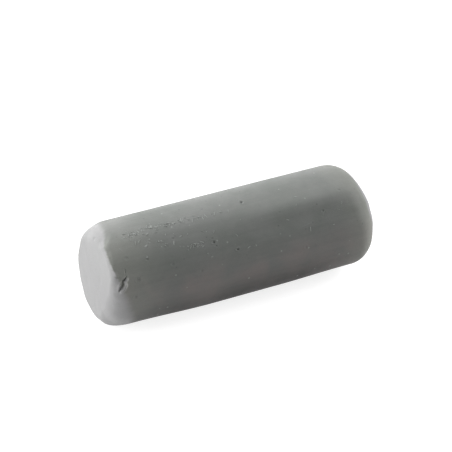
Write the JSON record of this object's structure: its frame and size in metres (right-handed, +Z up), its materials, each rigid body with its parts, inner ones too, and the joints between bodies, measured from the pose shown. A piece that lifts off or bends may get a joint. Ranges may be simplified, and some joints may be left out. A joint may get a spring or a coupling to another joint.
{
  "type": "blending stump",
  "caption": "Short blunt stick of soft grey felt paper, wound into a tight roll and pasted shut, with rounded ends for smudging and blending drawn marks.",
  "frame": {"origin": "on the level flat that the stump rests on, under the middle of its length and width", "axes": "+X along the stump, towards the end away from the creased one; +Z up, out of the top flat; +Y towards the side where the cover sheet's tail is pasted down"},
  "size_m": [0.045, 0.016, 0.0156],
  "materials": {
    "core_paper": "matte",
    "winding_paper": "matte",
    "cover_paper": "matte",
    "paste": "matte"
  },
  "bodies": {
    "root": {"core_pad": "core_paper", "winding_sheet": "winding_paper", "cover_sheet": "cover_paper", "winding_paste": "paste", "cover_paste": "paste"}
  },
  "joints": []
}
